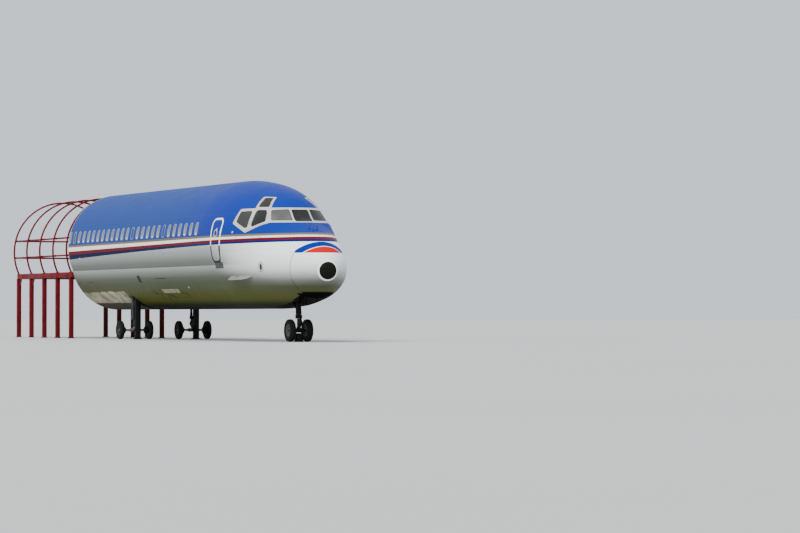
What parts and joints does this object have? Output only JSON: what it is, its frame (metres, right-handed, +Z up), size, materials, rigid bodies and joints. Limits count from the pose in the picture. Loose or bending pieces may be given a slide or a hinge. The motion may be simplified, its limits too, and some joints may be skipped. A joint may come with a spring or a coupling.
{
  "type": "narrow body airliner forward fuselage",
  "caption": "Cut forward fuselage of a narrow body airliner on its nose gear, twin-wheel legs and stands, with a hooped steel walkway frame behind the cut.",
  "frame": {"origin": "on the ground, under the middle of the whole object's box", "axes": "+X forward along the fuselage to the nose tip, +Y to port, +Z up"},
  "size_m": [24.48, 3.3798, 4.511],
  "materials": {
    "pale_paint": "faded grey-white gloss paint",
    "blue_paint": "faded blue gloss paint over pale lower skin, with gold, white, red and blue bands",
    "bulkhead_sheet": "plain grey sheet",
    "pane": "dark glazed pane, cloudy",
    "gear_steel": "dirty grey paint",
    "dark_steel": "dark dirty paint",
    "chrome_rod": "dull ground steel",
    "tyre": "weathered rubber",
    "rim": "dirty pale paint",
    "red_steel": "red paint, weathered",
    "deck_plate": "dark weathered plate"
  },
  "bodies": {
    "airframe": {"radome": "pale_paint", "strake_starboard": "pale_paint", "strake_port": "pale_paint", "nose_section": "blue_paint", "forward_fuselage": "blue_paint", "centre_fuselage": "blue_paint", "rear_fuselage": "blue_paint", "service_door": "blue_paint", "passenger_door": "blue_paint", "cut_bulkhead": "bulkhead_sheet", "centre_windshield": "pane", "rear_side_pane_starboard": "pane", "rear_side_pane_port": "pane", "front_side_pane_starboard": "pane", "front_side_pane_port": "pane", "eyebrow_pane_starboard": "pane", "eyebrow_pane_port": "pane", "side_windshield_starboard": "pane", "side_windshield_port": "pane", "mid_leg_starboard": "gear_steel", "mid_leg_port": "gear_steel", "nose_gear_leg": "dark_steel", "nose_drag_brace": "dark_steel", "nose_stand": "dark_steel", "mid_links_starboard": "dark_steel", "mid_links_port": "dark_steel", "prop_starboard": "dark_steel", "prop_port": "dark_steel", "mid_axle_starboard": "chrome_rod", "mid_axle_port": "chrome_rod", "side_frame_starboard": "red_steel", "side_frame_port": "red_steel", "hoop_1": "red_steel", "hoop_2": "red_steel", "hoop_3": "red_steel", "hoop_4": "red_steel", "hoop_5": "red_steel", "upper_rail_starboard": "red_steel", "upper_rail_port": "red_steel", "lower_rail_starboard": "red_steel", "lower_rail_port": "red_steel", "walkway_deck": "deck_plate"},
    "nose_steering": {"steering_collar": "gear_steel", "nose_torque_links": "dark_steel", "nose_piston_axle": "chrome_rod"},
    "nose_wheels": {"nose_starboard_tyre": "tyre", "nose_starboard_rim": "rim", "nose_port_tyre": "tyre", "nose_port_rim": "rim"},
    "starboard_wheels": {"mid_starboard_inboard_tyre": "tyre", "mid_starboard_inboard_rim": "rim", "mid_starboard_outboard_tyre": "tyre", "mid_starboard_outboard_rim": "rim"},
    "port_wheels": {"mid_port_inboard_tyre": "tyre", "mid_port_inboard_rim": "rim", "mid_port_outboard_tyre": "tyre", "mid_port_outboard_rim": "rim"}
  },
  "joints": [
    {"name": "nose_steer", "type": "hinge", "parent": "airframe", "child": "nose_steering", "pos_m": [9.88, 0, 0.31], "axis": [0, 0, 1], "range_deg": [-80, 80]},
    {"name": "nose_wheels_spin", "type": "hinge", "parent": "nose_steering", "child": "nose_wheels", "pos_m": [9.88, 0, 0.31], "axis": [0, 1, 0], "continuous": true},
    {"name": "starboard_wheels_spin", "type": "hinge", "parent": "airframe", "child": "starboard_wheels", "pos_m": [-1.6, -0.93, 0.28], "axis": [0, 1, 0], "continuous": true},
    {"name": "port_wheels_spin", "type": "hinge", "parent": "airframe", "child": "port_wheels", "pos_m": [-1.6, 0.93, 0.28], "axis": [0, 1, 0], "continuous": true}
  ]
}
